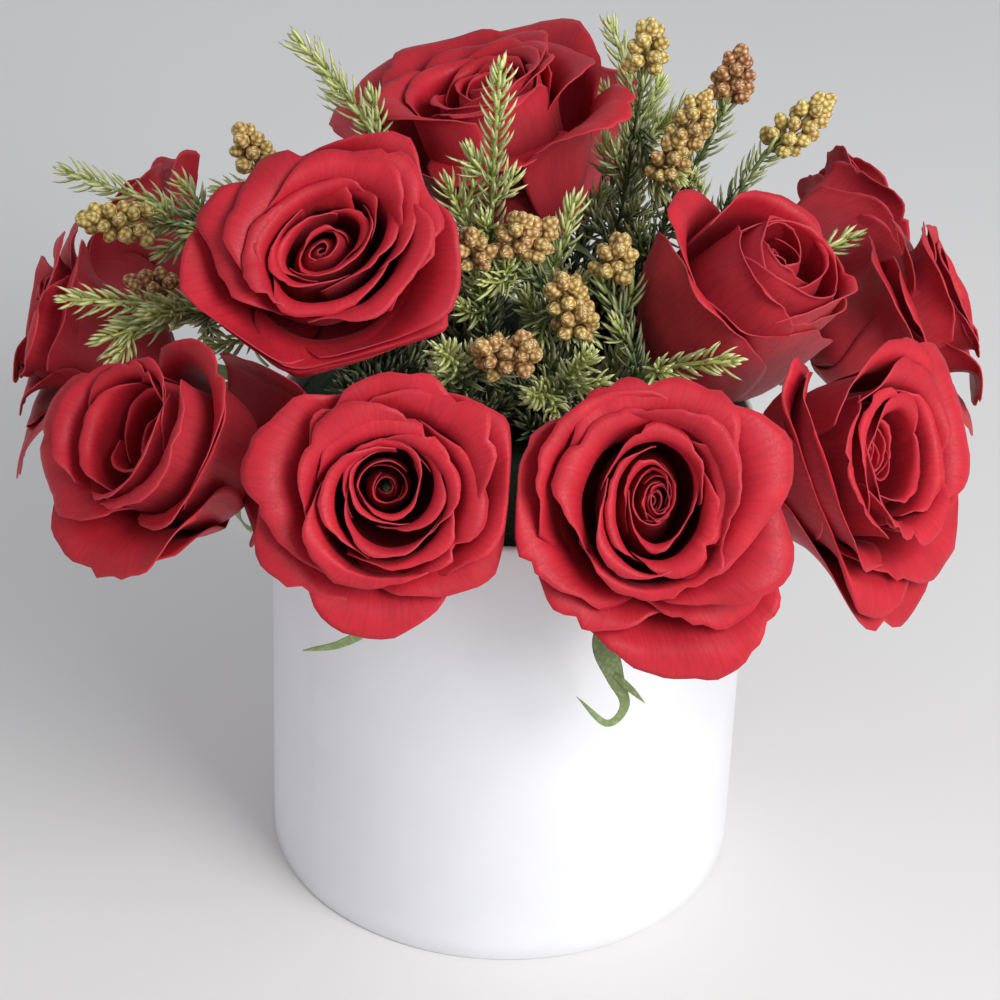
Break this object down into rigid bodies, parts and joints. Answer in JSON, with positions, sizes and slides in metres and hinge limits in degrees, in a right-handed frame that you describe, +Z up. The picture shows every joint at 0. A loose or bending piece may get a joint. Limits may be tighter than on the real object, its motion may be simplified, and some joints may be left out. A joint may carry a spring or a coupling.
{
  "type": "flower hat box",
  "caption": "Round white hat box, lined and filled with floral foam, holding an arrangement of red roses with conifer sprigs and small pollen cones.",
  "frame": {"origin": "centre of the underside of the box, on the plane it rests on", "axes": "+Z up along the axis of the box, -Y towards the front of the arrangement, +X to its right"},
  "size_m": [0.2954, 0.2749, 0.2915],
  "materials": {
    "white_paper": "smooth satin white paper glued over board",
    "grey_board": "bare grey board",
    "liner_film": "smooth waterproof film",
    "green_foam": "soaked open-cell floral foam",
    "rose_petal": "velvety fresh petal",
    "rose_green": "smooth green stem and sepal",
    "conifer_green": "slightly waxy needle",
    "pollen_cone": "dry matte scales"
  },
  "bodies": {
    "root": {"box_wall": "white_paper", "box_base": "grey_board", "liner": "liner_film", "flower_foam": "green_foam", "bloom_front_left": "rose_petal", "bloom_front_right": "rose_petal", "bloom_left_front": "rose_petal", "bloom_right_front": "rose_petal", "bloom_upper_left": "rose_petal", "bloom_upper_right": "rose_petal", "bloom_top_back": "rose_petal", "bloom_right_side": "rose_petal", "bloom_left_side": "rose_petal", "bloom_back_right": "rose_petal", "bloom_back_left": "rose_petal", "bloom_back": "rose_petal", "stem_front_left": "rose_green", "stem_front_right": "rose_green", "stem_left_front": "rose_green", "stem_right_front": "rose_green", "stem_upper_left": "rose_green", "stem_upper_right": "rose_green", "stem_top_back": "rose_green", "stem_right_side": "rose_green", "stem_left_side": "rose_green", "stem_back_right": "rose_green", "stem_back_left": "rose_green", "stem_back": "rose_green", "sprig_far_left": "conifer_green", "sprig_left": "conifer_green", "sprig_left_back": "conifer_green", "sprig_upper_left": "conifer_green", "sprig_centre_tall": "conifer_green", "sprig_back_dark": "conifer_green", "sprig_back_gold": "conifer_green", "sprig_right_back": "conifer_green", "sprig_right": "conifer_green", "sprig_centre_right": "conifer_green", "sprig_centre_left": "conifer_green", "sprig_centre_front": "conifer_green", "sprig_front_right": "conifer_green", "sprig_right_tip": "conifer_green", "sprig_back_middle": "conifer_green", "sprig_back_left": "conifer_green", "sprig_back_right": "conifer_green", "cones_far_left": "pollen_cone", "cones_left": "pollen_cone", "cones_left_back": "pollen_cone", "cones_centre_tall": "pollen_cone", "cones_centre_high": "pollen_cone", "cones_back_gold": "pollen_cone", "cones_middle_gold": "pollen_cone", "cones_right_back": "pollen_cone", "cones_right": "pollen_cone", "cones_centre_right": "pollen_cone", "cones_centre_low": "pollen_cone", "cones_front_right": "pollen_cone"}
  },
  "joints": []
}
